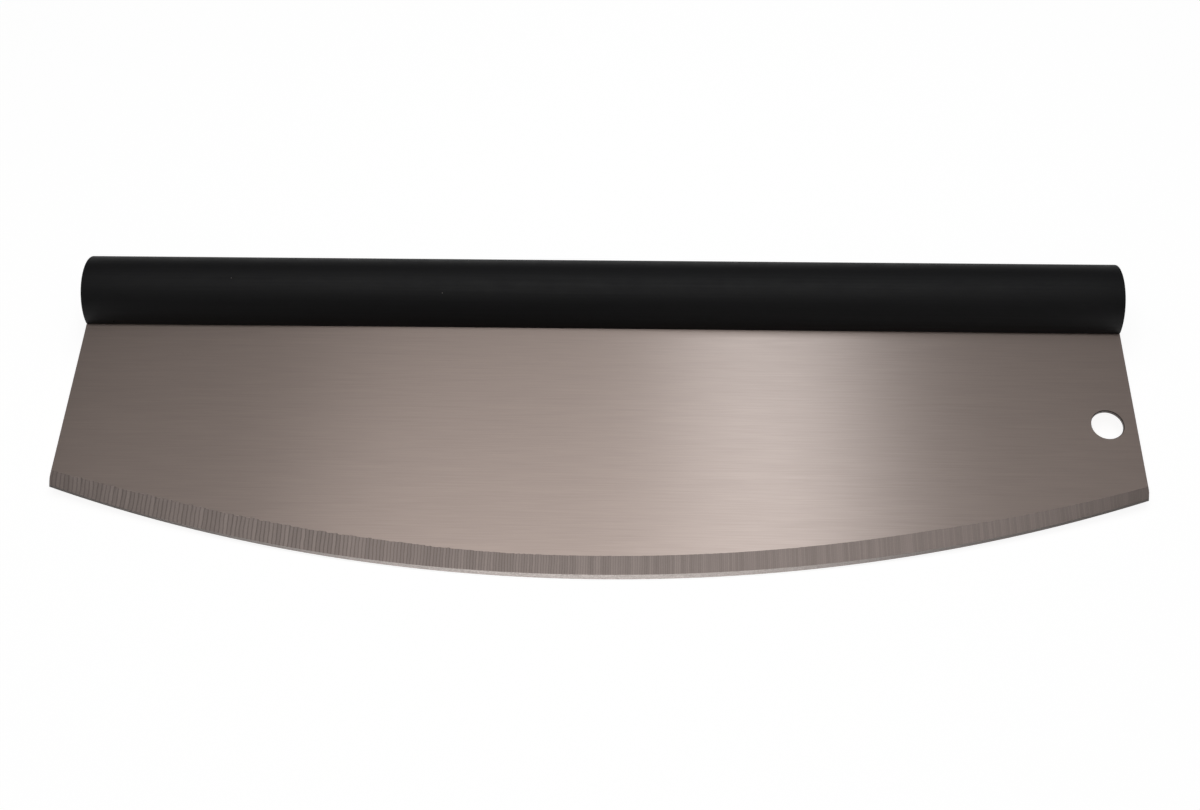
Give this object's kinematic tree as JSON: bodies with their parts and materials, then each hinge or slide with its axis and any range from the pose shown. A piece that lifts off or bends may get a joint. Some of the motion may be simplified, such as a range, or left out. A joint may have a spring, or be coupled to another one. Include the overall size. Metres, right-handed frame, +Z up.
{
  "type": "rocking pizza knife",
  "caption": "Wide two-handed pizza knife: an arc-edged steel blade with a double-ground cutting edge and a hanging hole, its tang pinned in the slot of a round black plastic bar handle.",
  "frame": {"origin": "on the table under the middle of the knife's outline, with the knife lying front face up on its handle and the middle of its cutting edge", "axes": "+X along the handle towards the end with the hanging hole, +Y from the cutting edge towards the handle, +Z up off the table"},
  "size_m": [0.508, 0.1691, 0.0375],
  "materials": {
    "blade_steel": "cold-rolled stainless sheet, brushed lengthwise, with a cross-ground and honed cutting edge",
    "handle_plastic": "solid black polypropylene, matt and faintly mottled",
    "pin_steel": "turned stainless dowel, end faces finely turned"
  },
  "bodies": {
    "root": {"blade": "blade_steel", "handle": "handle_plastic", "handle_pins": "pin_steel"}
  },
  "joints": []
}
